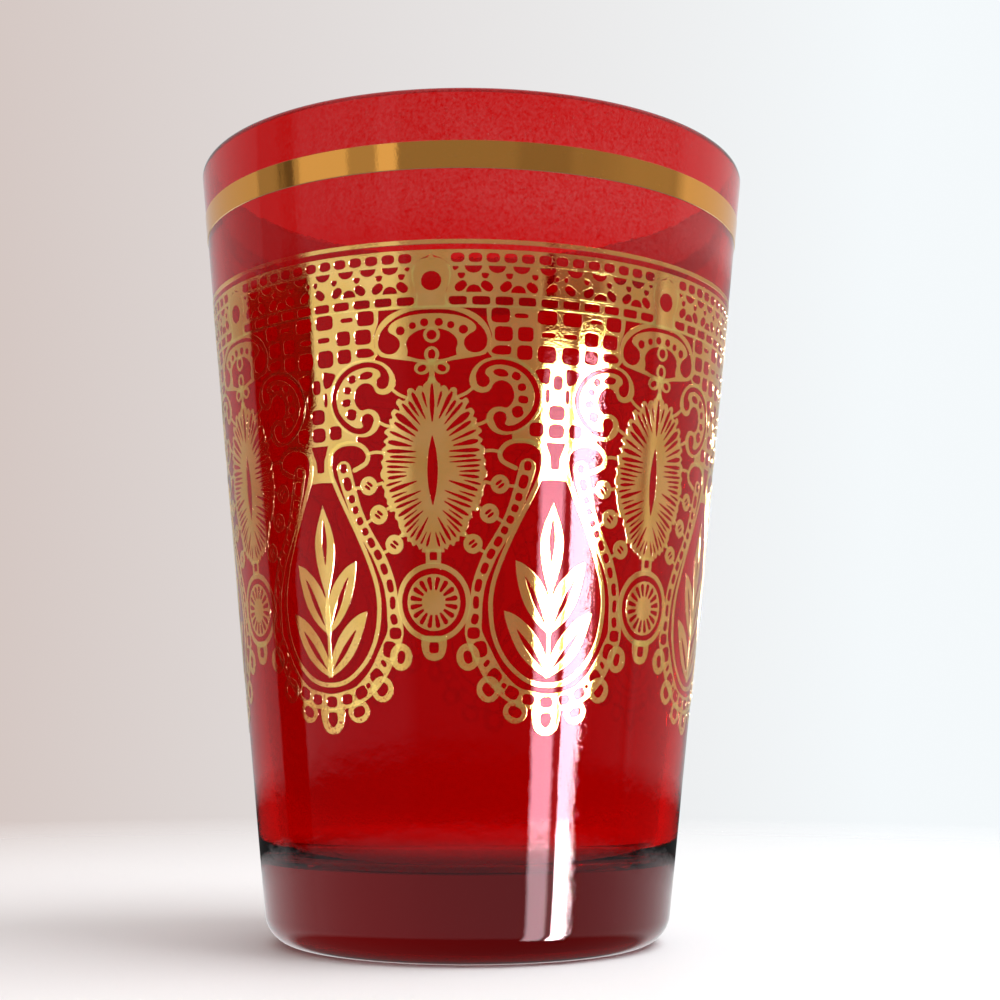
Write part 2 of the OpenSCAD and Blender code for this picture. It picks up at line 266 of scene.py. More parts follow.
# Gold film and turned pieces
def gold_sheet(name, outlines, lift=0.0, edge=EDGE):
    """Gold cut out flat: an outline inside another is an opening.

    Sheets of one piece that overlap have different lifts, so that they don't share a plane."""
    piece = outline_curve(name, [turned_left(o) for o in outlines])
    line = piece.data
    line.fill_mode = "BOTH"
    line.bevel_depth = edge
    line.bevel_resolution = 1
    line.extrude = edge * STRAIGHT
    line.offset = -edge
    only(piece)
    bpy.ops.object.convert(target="MESH")
    piece = bpy.context.view_layer.objects.active
    edit(piece)
    bpy.ops.mesh.remove_doubles(threshold=MERGE)
    bpy.ops.mesh.dissolve_degenerate(threshold=MERGE)
    thinner = FILM / (edge * (1 + STRAIGHT))
    bpy.ops.transform.resize(value=(1, 1, thinner), center_override=(0, 0, 0))
    bpy.ops.transform.translate(value=(0, 0, lift))
    leave()
    return piece


def press_on(name, node, sheets, shift=0):
    """Scores the flat gold, presses it round the cone and sets out the repeats.

    The shift is in half repeats."""
    flat = joined(name, sheets)
    xs = [v.co.x for v in flat.data.vertices]
    edit(flat)
    for k in range(math.ceil(min(xs) / SCORE), math.floor(max(xs) / SCORE) + 1):
        bpy.ops.mesh.select_all(action="SELECT")
        bpy.ops.mesh.bisect(plane_co=(k * SCORE, 0, 0), plane_no=(1, 0, 0))
    leave()
    for v in flat.data.vertices:
        x, z, out = v.co
        a = x / WRAP_R + shift * TURN / 2
        r = cone_r(z) + out * math.cos(LEAN)
        v.co = Vector((r * math.sin(a), -r * math.cos(a), z - out * math.sin(LEAN))) * MM
    edit(flat)
    bpy.ops.mesh.normals_make_consistent(inside=False)
    leave()
    only(flat)
    bpy.ops.object.shade_smooth_by_angle(angle=math.radians(32))
    repeats = [flat]
    for i in range(1, REPEATS):
        only(flat)
        bpy.ops.object.duplicate()
        copy = bpy.context.view_layer.objects.active
        copy.rotation_euler.z = i * TURN
        bpy.ops.object.transform_apply(location=False, rotation=True, scale=False)
        repeats.append(copy)
    whole = joined(name, repeats)
    whole.data.materials.clear()
    whole.data.materials.append(FIRED_GOLD)
    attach(whole, "root")
    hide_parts(node)


def lathe(name, profile):
    """Turns a profile of radius and height round the axis."""
    piece = outline_curve(name, [profile], closed=False)
    only(piece)
    bpy.ops.object.convert(target="MESH")
    piece = bpy.context.view_layer.objects.active
    edit(piece)
    # With no window the turn runs the other way, so -90 degrees stands the profile up.
    bpy.ops.transform.rotate(value=math.radians(-90), orient_axis="X", center_override=(0, 0, 0))
    bpy.ops.transform.resize(value=(MM, MM, MM), center_override=(0, 0, 0))
    bpy.ops.mesh.select_all(action="SELECT")
    bpy.ops.mesh.spin(steps=AROUND, angle=2 * math.pi, center=(0, 0, 0), axis=(0, 0, 1))
    bpy.ops.mesh.select_all(action="SELECT")
    bpy.ops.mesh.remove_doubles(threshold=MERGE * MM)
    bpy.ops.mesh.select_all(action="SELECT")
    bpy.ops.mesh.normals_make_consistent(inside=False)
    leave()
    only(piece)
    bpy.ops.object.shade_smooth_by_angle(angle=math.radians(35))
    return piece


# Finishes
class Tone:
    """A value in a finish's node tree, so that its maths reads as plain sums."""

    def __init__(self, finish, socket):
        self.finish, self.socket = finish, socket

    def _with(self, how, a, b):
        return self.finish.node("ShaderNodeMath", {"operation": how}, {0: a, 1: b})

    def __add__(self, other):
        return self._with("ADD", self, other)

    def __radd__(self, other):
        return self._with("ADD", other, self)

    def __sub__(self, other):
        return self._with("SUBTRACT", self, other)

    def __rsub__(self, other):
        return self._with("SUBTRACT", other, self)

    def __mul__(self, other):
        return self._with("MULTIPLY", self, other)

    def __rmul__(self, other):
        return self._with("MULTIPLY", other, self)

    def __truediv__(self, other):
        return self._with("DIVIDE", self, other)

    def __rtruediv__(self, other):
        return self._with("DIVIDE", other, self)

    def __pow__(self, other):
        return self._with("POWER", self, other)

    def __lt__(self, other):
        return self._with("LESS_THAN", self, other)


class Finish:
    """The node tree of a material, or of the world."""

    def __init__(self, owner, end="ShaderNodeOutputMaterial"):
        self.owner = owner
        owner.use_nodes = True
        self.tree = owner.node_tree
        self.tree.nodes.clear()
        self.end = self.tree.nodes.new(end)

    def node(self, kind, settings=None, inputs=None, out=0):
        """One node. Its settings come first, then the values or links of its sockets."""
        node = self.tree.nodes.new(kind)
        for key, value in (settings or {}).items():
            if key == "stops":
                for stop, (at, colour) in zip(node.color_ramp.elements, value):
                    stop.position, stop.color = at, colour
            else:
                setattr(node, key, value)
        for key, value in (inputs or {}).items():
            if isinstance(value, Tone):
                self.tree.links.new(value.socket, node.inputs[key])
            else:
                node.inputs[key].default_value = value
        return Tone(self, node.outputs[out])

    def surface(self, tone):
        self.tree.links.new(tone.socket, self.end.inputs["Surface"])
        return self.owner

    def volume(self, tone):
        self.tree.links.new(tone.socket, self.end.inputs["Volume"])

    def place(self):
        """A place on the piece, from Object coordinates."""
        return self.node("ShaderNodeTexCoord", out=3)

    def seen(self, place):
        """The same place turned so that -Y is the photo's side of the glass."""
        return self.node("ShaderNodeVectorRotate", {"rotation_type": "Z_AXIS"},
                         {"Vector": place, "Angle": -SEE_FROM})

    def parts(self, place):
        """The x, y and z of a place."""
        x = self.node("ShaderNodeSeparateXYZ", {}, {"Vector": place})
        return x, Tone(self, x.socket.node.outputs[1]), Tone(self, x.socket.node.outputs[2])

    def degrees(self, over, along):
        """The angle whose tangent is over / along."""
        return self.node("ShaderNodeMath", {"operation": "ARCTAN2"}, {0: over, 1: along}) * (180 / math.pi)

    def speckle(self, place, scale, detail=2.0, rough=0.5):
        return self.node("ShaderNodeTexNoise", {}, {"Vector": place, "Scale": scale,
                                                    "Detail": detail, "Roughness": rough})

    def between(self, value, low, high, to_low=0.0, to_high=1.0):
        """Runs from one level to another while a value runs from low to high."""
        return self.node("ShaderNodeMapRange", {"clamp": True},
                         {"Value": value, "From Min": low, "From Max": high,
                          "To Min": to_low, "To Max": to_high})

    def blend(self, factor, a, b):
        return self.node("ShaderNodeMix", {"data_type": "RGBA"}, {0: factor, 6: a, 7: b}, out=2)


def red_glass():
    """Red glass, faintly rippled, glossier on its foot, with a light frost round its mouth."""
    foot_end, floor_end, frost_start = (0.0113, 0.0125), (0.0136, 0.0146), (0.066, 0.074)    # heights
    frost_left, frost_right = (-0.0225, -0.0165), (0.022, 0.029)                             # across
    most_frost = 0.074
    f = Finish(bpy.data.materials.new("red_glass"))
    place = f.place()
    height = f.parts(place)[2]
    ripples = f.speckle(place, 55.0, 1.0) + f.speckle(place, 600.0, 3.0) * 0.12
    bump = f.node("ShaderNodeBump", {}, {"Strength": 0.12, "Distance": 0.0006, "Height": ripples})
    gloss = f.between(height, *foot_end, 0.22, 0.0) + f.between(height, *floor_end, 0.07, 0.0)
    glass = f.node("ShaderNodeBsdfPrincipled", {}, {
        "Base Color": (0.695, 0.002, 0.001, 1), "Roughness": 0.0, "IOR": 1.5,
        "Transmission Weight": 1.0, "Specular Tint": (0.32, 0.14, 0.18, 1),
        "Coat Weight": gloss, "Coat Roughness": 0.02, "Normal": bump})
    f.volume(f.node("ShaderNodeVolumeAbsorption", {}, {"Color": (0.935, 0.0, 0.0, 1), "Density": 600.0}))
    frost = f.node("ShaderNodeBsdfPrincipled", {}, {"Base Color": (1.0, 0.60, 0.60, 1), "Roughness": 0.8})
    grain = f.speckle(place, 2900.0, 4.0, 0.85)
    cloud = f.speckle(place, 45.0, 2.0)
    across = f.parts(f.seen(place))[0]
    worn = f.between(across, *frost_left) * f.between(across, *frost_right, 1.0, 0.3)
    haze = (f.between(height, *frost_start) * worn * f.between(grain, 0.36, 0.64, 0.0, most_frost)
            * f.between(cloud, 0.30, 0.65, 0.4, 1.0))
    return f.surface(f.node("ShaderNodeMixShader", {}, {0: haze, 1: glass, 2: frost}))


def fired_gold():
    """Bright gold lustre: see-through, with a painted highlight that makes its edges paler, dense on the
    rim band, and with painted shade that makes it barer where it mirrors the dark side of the room.
    """
    inside, outside = 0.12, 0.62                              # how solid the film looks from each side
    line_start = (0.0692, 0.0697)                             # the painted-shade strip is barest on the border line
    loops_down = (0.034, 0.024)                               # the lowest loops have worn specks
    band_start = (0.074, 0.076)
    front = math.degrees(SEE_FROM)
    strip_left, strip_right = (front - 62, front - 54), (front - 38, front - 33)
    f = Finish(bpy.data.materials.new("fired_gold"))
    place = f.place()
    x, y, z = f.parts(place)
    grain = f.speckle(place, 4200.0, 2.0)
    patches = f.speckle(place, 300.0, 2.0)

    # The flat of the film takes the cone's own direction, and its soft edges keep theirs.
    r = (x * x + y * y) ** 0.5
    outward = f.node("ShaderNodeCombineXYZ", {}, {"X": x / r, "Y": y / r, "Z": -SLOPE})
    outward = f.node("ShaderNodeVectorMath", {"operation": "NORMALIZE"}, {0: outward})
    facing = f.node("ShaderNodeNewGeometry", out=1)
    along = f.node("ShaderNodeVectorMath", {"operation": "DOT_PRODUCT"}, {0: outward, 1: facing}, out=1)
    side = f.node("ShaderNodeMath", {"operation": "SIGN"}, {0: along})
    flat = f.node("ShaderNodeMath", {"operation": "ABSOLUTE"}, {0: along})
    edge = f.between(flat, 0.985, 0.90)
    outward = f.node("ShaderNodeVectorMath", {"operation": "SCALE"}, {0: outward, 3: side})
    smoothed = f.node("ShaderNodeMix", {"data_type": "VECTOR"}, {0: edge, 4: outward, 5: facing}, out=1)
    bump = f.node("ShaderNodeBump", {}, {"Strength": 0.16, "Distance": 0.00002, "Height": grain,
                                         "Normal": smoothed})

    dense = f.between(z, *band_start)
    gold = f.blend(f.between(patches, 0.35, 0.65), (0.90, 0.72, 0.19, 1), (0.97, 0.79, 0.26, 1))
    gold = f.blend(dense, gold, (0.80, 0.385, 0.075, 1))
    turn = f.degrees(x, 0 - y)
    # Painted shade: the film is made barer in the strip that mirrors the dark side of the room, standing in
    # for the shade that the lustre mirrors there.
    strip = f.between(turn, *strip_left) * f.between(turn, *strip_right, 1.0, 0.0) * (1 - dense)
    painted_shade_bare = strip * f.between(z, *line_start, 0.5, 0.9)
    worn = f.between(z, *loops_down) * f.between(f.speckle(place, 3800.0, 3.0, 0.7), 0.55, 0.60)
    film = f.between(side, -0.5, 0.5, inside, outside) * (1 - worn * 0.8) * (1 - painted_shade_bare)
    return f.surface(f.node("ShaderNodeBsdfPrincipled", {}, {
        # Painted highlight: the soft edges get a paler gold, standing in for the light that they catch.
        "Base Color": f.blend(edge, gold, (0.98, 0.72, 0.38, 1)), "Metallic": 1.0,
        "Roughness": f.between(grain, 0.3, 0.7, 0.015, 0.05) + edge * 0.12,
        "Alpha": film - edge * 0.12 + dense * 0.32, "Normal": bump}))


RED_GLASS = red_glass()
FIRED_GOLD = fired_gold()


# Glass body and gold lines
def glass_body():
    """Under the foot, round the heel, up the wall, over the rim and down to the floor."""
    deg = math.degrees(LEAN)
    grow = 1 / math.cos(LEAN)
    stand_out, stand_in, ease = 0.3, 0.35, 0.05         # rounds of the ring that the glass stands on
    heel_x = cone_r(HEEL_R) - HEEL_R * grow
    rim_r = RIM_WALL / 2
    rim_z = GLASS_H - rim_r
    rim_x = cone_r(rim_z) - rim_r * grow
    top_in = rim_x - rim_r
    well_z = FLOOR + WELL_R
    low_in = cone_r(well_z) - FOOT_WALL
    well_x = low_in - WELL_R
    ring_x = heel_x - STAND_W
    profile = [(0, KICK)]
    profile += [(ring_x * k / 4, KICK) for k in (1, 2, 3)]
    profile += arc(ring_x - 2 * stand_in, KICK - stand_in, stand_in, 90, 0, 4)
    profile += arc(ring_x - ease, stand_out, stand_out, 180, 270, 4)
    profile += arc(heel_x, HEEL_R, HEEL_R, -90, -deg, 20)
    profile += [(cone_r(z), z) for z in (6, 10, 15, 20, 30, 40, 50, 60, 70, 78)]
    profile += arc(rim_x, rim_z, rim_r, -deg, 176, 18)
    for k in range(1, 10):
        z = rim_z + (well_z - rim_z) * k / 10
        profile.append((top_in + (low_in - top_in) * k / 10, z))
    profile += arc(well_x, well_z, WELL_R, -4, -90, 14)
    profile += [(well_x * k / 4, FLOOR) for k in (3, 2, 1)]
    profile += [(0, FLOOR)]
    body = lathe("red_glass_body", profile)
    body.data.materials.append(RED_GLASS)
    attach(body, "root")
    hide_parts("glass_body")


def gold_ring(name, node, drop, width):
    """A plain gold line that starts this far below the rim."""
    soft, half = 0.05, 0.07
    low = GLASS_H - drop - width
    section = [(-half, 0), (-half, width), (half - soft, width), (half, width - soft), (half, soft),
               (half - soft, 0), (-half, 0)]
    ring = lathe(name, [(cone_r(low + z) + x, low + z) for x, z in section])
    ring.data.materials.append(FIRED_GOLD)
    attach(ring, "root")
    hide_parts(node)


# Lace, from the top down
def lace_courses():
    def course(*end):
        """A course that stops at the domes. Its end, from below, is in steps back from a dome's axis."""
        right = [(HALF - back, z) for back, z in end]
        return right + flip(right)
    pitch = 2 * HALF / 15
    row = [cell(k * pitch, 68.53, 1.22, 0.9, soft=2.8) for k in range(-6, 7)]
    border = course((1.62, 67.85), (1.35, 68.15), (0.85, 68.5), (0.3, 68.72), (-0.06, 69.0), (-0.06, 69.35))
    press_on("cell_border_gold", "cell_border", [gold_sheet("row", [border] + row)], 1)

    lattice = course((1.28, 64.95), (1.5, 65.7), (1.62, 66.4), (1.62, 67.2), (1.42, 67.93))
    cup_top, cup_r, squash = 67.72, 0.78, 0.86
    cuts = []
    for t in (1.33, 3.83, 6.08, 8.25):
        cup = [(t - cup_r, cup_top)] + arc(t, cup_top, cup_r, 190, 350, 8) + [(t + cup_r, cup_top)]
        cuts.append([(x, cup_top + (z - cup_top) * squash) for x, z in cup])
    cuts.append(smooth([(9.6, 67.6), (10.12, 67.65), (9.95, 67.28)]))
    tab_top, tab_low, taper = 66.98, 66.55, 0.28
    for t, w in ((0.44, 0.42), (2.55, 0.58), (4.95, 0.62), (7.17, 0.62), (9.35, 0.6)):
        cuts.append(smooth([(t - w / 2, tab_top), (t + w / 2, tab_top),
                            (t + w * taper, tab_low), (t - w * taper, tab_low)]))
    for t, turn in ((0.9, 50), (2.8, -50), (5.25, 50), (7.0, -50), (9.4, 50)):
        cuts.append(cell(t, 65.75, 0.84, 1.2, turn=turn, soft=2.4))
    for t in (4.07, 8.2):
        cuts.append(arc(t, 65.18, 0.7, 0, 180, 8))
    press_on("star_lattice_gold", "star_lattice", [gold_sheet("lattice", [lattice] + pair(cuts))], 1)

    bricks = course((1.25, 63.7), (1.25, 65.03))
    slots = [cell(t, 64.35, 1.65, 0.8, soft=5) for t in (1.07, 3.22, 5.37, 7.52, 9.68)]
    press_on("brick_course_gold", "brick_course", [gold_sheet("bricks", [bricks] + pair(slots))], 1)


def square_net():
    edge = both([
        (0, 63.9), (11.2, 63.9), (10.4, 63.68), (9.0, 63.6), (7.05, 63.58), (6.97, 62.5), (6.85, 62.05),
        (6.5, 61.1), (6.6, 60.1), (6.9, 59.35), (6.4, 58.75), (5.4, 58.75), (4.2, 58.55), (3.1, 57.9),
        (2.2, 56.9), (1.72, 55.9), (1.68, 54.9), (1.95, 53.8), (2.5, 52.85), (3.3, 52.1), (4.4, 51.45),
        (4.4, 50.85), (2.7, 50.72), (1.75, 50.2), (1.3, 49.4), (1.3, 48.5), (1.5, 47.6), (1.7, 47.05),
        (0, 47.15)])
    cuts = pair([
        cell(1.25, 62.96, 1.95, 1.42, soft=4), cell(3.75, 62.97, 1.3, 0.42),
        cell(5.7, 62.96, 1.75, 1.42, soft=4), cell(1.1, 61.25, 1.35, 0.5),
        cell(3.3, 61.2, 1.5, 1.4, soft=4), cell(5.38, 61.15, 1.7, 1.45, soft=4),
        cell(1.2, 59.35, 1.85, 1.7, soft=3.6), cell(3.35, 59.4, 1.5, 1.4, soft=3.6),
        smooth([(4.75, 59.92), (5.7, 60.0), (6.2, 59.85), (6.5, 59.42), (6.1, 59.17), (5.2, 59.15),
                (4.7, 59.3)]),
        smooth([(0.85, 57.95), (1.6, 57.95), (2.25, 57.7), (2.0, 57.1), (1.65, 56.6), (0.95, 56.55)]),
        cell(1.02, 55.3, 0.4, 1.35), cell(2.02, 51.97, 1.4, 1.35, soft=3.6)])
    funnel = both([(0, 50.75), (1.02, 50.75), (0.85, 50.2), (0.5, 49.3), (0.42, 48.2), (0, 48.15)])
    cuts += [cell(0, 56.65, 0.95, 1.4), cell(0, 53.7, 1.65, 1.45), cell(0, 51.9, 1.65, 1.4), funnel]
    press_on("square_net_gold", "square_net", [gold_sheet("net", [edge] + cuts)], 1)


def plaques():
    dome = both(smooth([
        (0, 69.0), (0.16, 68.9), (0.3, 68.62), (1.0, 68.42), (1.65, 67.85), (1.85, 67.1), (1.75, 66.2),
        (1.45, 65.5), (1.36, 64.9), (1.5, 64.3), (2.0, 63.7), (0, 63.62)], False))
    press_on("plaque_gold", "plaques", [gold_sheet("dome", [dome, disc(0, 66.3, 0.93)], 0.03)])


def crown_arches():
    rim = both(smooth([
        (0, 63.92), (2.2, 63.78), (3.9, 63.2), (5.0, 62.25), (5.55, 61.1), (5.5, 60.0), (5.15, 59.25),
        (4.6, 58.98), (3.5, 58.75), (2.0, 58.5), (1.1, 58.26), (0.6, 58.1), (0, 58.0)], False))
    gap = both(smooth([
        (0, 63.5), (1.6, 63.42), (2.9, 63.05), (4.05, 62.35), (4.85, 61.5), (5.17, 60.7), (5.1, 59.95),
        (4.65, 59.45), (4.0, 59.3), (3.4, 59.5), (3.06, 60.05), (3.15, 60.65), (3.6, 61.1), (4.0, 61.35),
        (4.17, 61.7), (3.95, 62.15), (3.3, 62.6), (2.2, 62.95), (1.0, 63.1), (0, 63.14)], False))
    window = both(smooth([
        (0, 61.62), (0.8, 61.58), (1.55, 61.32), (2.15, 60.85), (2.42, 60.25), (2.28, 59.6), (2.34, 59.05),
        (2.34, 59.05), (1.3, 58.72), (0.5, 58.62), (0, 58.6)], False))
    dots = pair([disc(0.68, 62.25, 0.38, 14), disc(1.8, 61.97, 0.33, 14), disc(2.97, 61.52, 0.42, 14)])
    stem = both([(0, 58.75), (0.42, 58.6), (0.3, 57.9), (0.26, 57.0), (0.4, 56.4), (0, 56.2)])
    sheets = [
        gold_sheet("arch", [rim, gap, window] + dots, 0.015), gold_sheet("stem", [stem], 0.022),
        gold_sheet("arch_ring", [disc(0, 61.02, 0.8, 24), disc(0, 61.02, 0.46, 18)], 0.026),
        gold_sheet("arch_ring", [disc(0, 59.12, 0.73, 24, 0.8), disc(0, 59.12, 0.34, 18, 0.48)], 0.03)]
    for side in (1, -1):
        loop = on_side(side, disc(0.93, 57.8, 0.78, 20, 0.66))
        hole = cell(side * 0.95, 57.78, 0.85, 0.6, turn=-28 * side, soft=2.2)
        sheets.append(gold_sheet("arch_leaf", [loop, hole], 0.008))
    press_on("crown_arch_gold", "crown_arches", sheets)


def side_scrolls():
    shape = smooth([
        (6.7, 58.97), (8.3, 58.65), (9.6, 57.72), (10.4, 56.35), (10.62, 55.1), (10.35, 53.7), (9.5, 52.45),
        (8.3, 51.62), (7.0, 51.32), (6.0, 51.55), (5.35, 52.2), (5.17, 53.0), (5.55, 53.75), (6.3, 54.08),
        (7.05, 54.0), (7.45, 54.25), (7.75, 54.75), (7.82, 55.35), (7.6, 56.0), (7.1, 56.48), (6.4, 56.58),
        (5.85, 56.25), (5.6, 55.75), (5.25, 55.45), (4.6, 55.36), (3.95, 55.65), (3.56, 56.25), (3.6, 57.1),
        (4.1, 58.0), (5.1, 58.7)])
    gap = ribbon([
        (4.85, 56.55, 0.62), (4.62, 57.1, 0.46), (4.85, 57.8, 0.29), (5.55, 58.25, 0.24), (6.6, 58.4, 0.24),
        (7.95, 58.1, 0.25), (9.1, 57.35, 0.26), (9.85, 56.25, 0.27), (10.1, 55.1, 0.27), (9.85, 53.9, 0.26),
        (9.1, 52.85, 0.26), (8.1, 52.12, 0.26), (7.2, 51.95, 0.28), (6.62, 52.25, 0.42),
        (6.5, 52.95, 0.66)], steps=3)
    holes = [
        smooth([(5.85, 57.55), (6.4, 57.72), (7.0, 57.55), (7.2, 57.1), (6.5, 57.0), (5.95, 57.2)]),
        cell(8.0, 57.08, 0.85, 0.75, turn=-25, soft=2.6), cell(8.55, 56.02, 0.8, 0.7, turn=10, soft=2.6),
        cell(8.72, 54.82, 1.0, 0.72, turn=-8, soft=2.6), cell(8.2, 53.62, 1.1, 1.08, turn=20, soft=2.6)]
    scroll = [shape, gap] + holes
    press_on("side_scroll_gold", "side_scrolls", [
        gold_sheet("scroll", scroll, 0.02), gold_sheet("scroll", [flip(o) for o in scroll], 0.02)])


def sunbursts():
    deeper, wider = 0.45, 1.3
    crown = [
        (0, 57.0), (0.28, 56.95), (0.45, 56.55), (0.8, 56.22), (0.83, 55.95), (0.95, 56.05), (1.25, 56.1),
        (1.5, 55.8), (1.62, 55.55), (1.75, 55.78), (2.1, 55.92), (2.38, 55.7), (2.38, 55.3), (2.45, 54.95)]
    teeth = [
        (2.8, 54.68), (3.2, 54.82), (3.45, 54.5), (3.3, 54.1), (3.3, 53.82), (3.7, 53.85), (4.0, 53.5),
        (3.98, 53.1), (4.2, 52.9), (4.2, 52.5), (4.15, 52.2), (4.5, 52.0), (4.7, 51.65), (4.5, 51.3),
        (4.6, 51.1), (4.82, 50.8), (4.72, 50.45), (5.0, 50.1), (5.05, 49.7), (5.0, 49.2), (5.18, 48.8),
        (5.1, 48.3), (5.25, 47.8), (5.22, 47.3), (5.02, 46.95), (5.12, 46.5), (4.95, 46.0), (4.92, 45.5),
        (4.72, 45.1), (4.66, 44.7), (4.45, 44.4), (4.35, 43.98), (3.95, 43.85), (3.86, 43.35),
        (3.62, 42.95), (3.48, 42.4), (3.28, 41.95), (3.2, 41.5), (2.75, 41.42), (2.6, 41.05), (2.3, 40.92),
        (2.05, 40.6), (1.7, 40.62), (1.42, 40.28), (1.1, 40.28), (0.95, 40.0), (0, 39.95)]
    edge = both(smooth(crown + crisper(teeth, deeper), False, 3))
    rays = [slit(x0, z0, x1, z1, w * wider) for x0, z0, x1, z1, w in (
        (0.92, 55.5, 0.5, 54.0, 0.2), (1.92, 55.45, 0.67, 52.9, 0.32), (2.25, 54.6, 1.3, 53.15, 0.26),
        (2.9, 54.4, 1.2, 52.35, 0.26), (3.55, 53.45, 1.4, 51.7, 0.48), (3.7, 52.6, 1.65, 51.2, 0.3),
        (4.2, 51.75, 1.9, 50.7, 0.22), (4.4, 50.75, 2.05, 50.25, 0.36), (4.55, 49.85, 1.65, 49.7, 0.3),
        (4.25, 49.3, 1.65, 49.15, 0.22), (4.7, 48.87, 1.7, 48.65, 0.2), (4.6, 48.35, 2.35, 48.2, 0.2),
        (4.6, 47.83, 2.65, 47.75, 0.2), (4.55, 47.2, 2.6, 47.4, 0.25), (4.7, 46.5, 3.1, 46.9, 0.18),
        (4.4, 45.93, 1.6, 46.85, 0.3), (4.2, 45.35, 2.6, 45.85, 0.15), (3.9, 44.85, 1.2, 45.9, 0.24),
        (3.75, 44.3, 1.45, 45.15, 0.22), (3.5, 43.5, 1.15, 44.85, 0.28), (2.95, 43.15, 1.6, 44.05, 0.15),
        (2.9, 42.45, 1.0, 43.95, 0.25), (2.7, 41.9, 1.4, 43.15, 0.18), (2.3, 41.4, 1.45, 42.5, 0.18),
        (1.75, 41.1, 0.5, 43.3, 0.25), (1.25, 40.75, 0.65, 41.9, 0.16), (0.65, 40.5, 0.25, 41.85, 0.2))]
    top = ribbon([(0, 56.4, 0.06), (0, 55.2, 0.2), (0, 54.0, 0.22), (0, 52.6, 0.05)], steps=3, ends=False)
    eye = ribbon([(0, 51.2, 0.05), (0, 49.8, 0.36), (0, 48.0, 0.52), (0, 46.2, 0.4), (0, 44.55, 0.05)],
                 ends=False)
    press_on("sunburst_gold", "sunbursts",
             [gold_sheet("sunburst", [edge, top, eye] + pair(rays), 0.012, FINE_EDGE)])


def bead_links():
    """Beads with two short slots like a button's, and the bars between the motifs."""
    button_turn, apart = math.radians(40), 0.2
    slot_x, slot_z = apart * math.sin(button_turn), apart * math.cos(button_turn)
    sheets = []
    for side in (1, -1):
        for x, z, r in ((6.6, 46.55, 0.95), (5.6, 43.7, 0.98), (4.0, 40.75, 0.98)):
            slots = [cell(x - slot_x * s, z + slot_z * s, 0.72, 0.27, turn=38, soft=2.4)
                     for s in (1, -1)]
            bead = [disc(x, z, r, 22)] + slots
            sheets.append(gold_sheet("bead", [on_side(side, o) for o in bead], 0.03))
        for n, bar in enumerate((
                [(3.9, 55.85), (3.2, 55.3), (2.3, 54.9)], [(5.4, 52.75), (4.6, 52.35), (3.8, 52.2)],
                [(6.7, 49.65), (5.8, 49.8), (4.8, 49.7)],
                [(8.3, 46.4), (7.4, 46.4)], [(5.75, 46.6), (5.0, 46.8)],
                [(7.0, 42.9), (6.3, 43.3)], [(4.75, 44.15), (4.2, 44.5)],
                [(5.3, 39.9), (4.7, 40.2)], [(3.5, 41.4), (3.0, 41.9)])):
            outline = ribbon(bar, 0.36, ends=False)
            sheets.append(gold_sheet("link", [on_side(side, outline)], 0.004 + 0.001 * n))
    press_on("bead_link_gold", "bead_links", sheets)


def rosettes():
    middle, slots, fine_edge = 35.1, 16, 0.06
    rays = []
    for k in range(slots):
        a = 2 * math.pi * (k + 0.5) / slots
        rays.append(ribbon([(r * math.cos(a), middle + r * math.sin(a), half)
                            for r, half in ((1.35, 0.13), (1.85, 0.2), (2.25, 0.24))], steps=2))
    neck = [(-0.82, 40.25), (-0.78, 38.8), (0.78, 38.8), (0.82, 40.25)]
    neck_hole = smooth([(-0.36, 39.2), (-0.34, 39.9), (0, 40.15), (0.34, 39.9), (0.36, 39.2), (0.36, 39.2),
                        (-0.36, 39.2)])
    loop = both(smooth([(0, 31.9), (1.35, 31.9), (1.35, 31.9), (1.3, 30.6), (0.85, 29.7), (0, 29.42)],
                       False))
    press_on("rosette_gold", "rosettes", [
        gold_sheet("hub", [disc(0, middle, 2.75, 48)] + rays, 0.012, fine_edge),
        gold_sheet("ring", [disc(0, middle, 3.87, 60), disc(0, middle, 3.3, 54)], 0.02),
        gold_sheet("neck", [neck, neck_hole], 0.006),
        gold_sheet("loop", [loop, cell(0, 30.75, 1.0, 1.05, soft=4)], 0.006)])


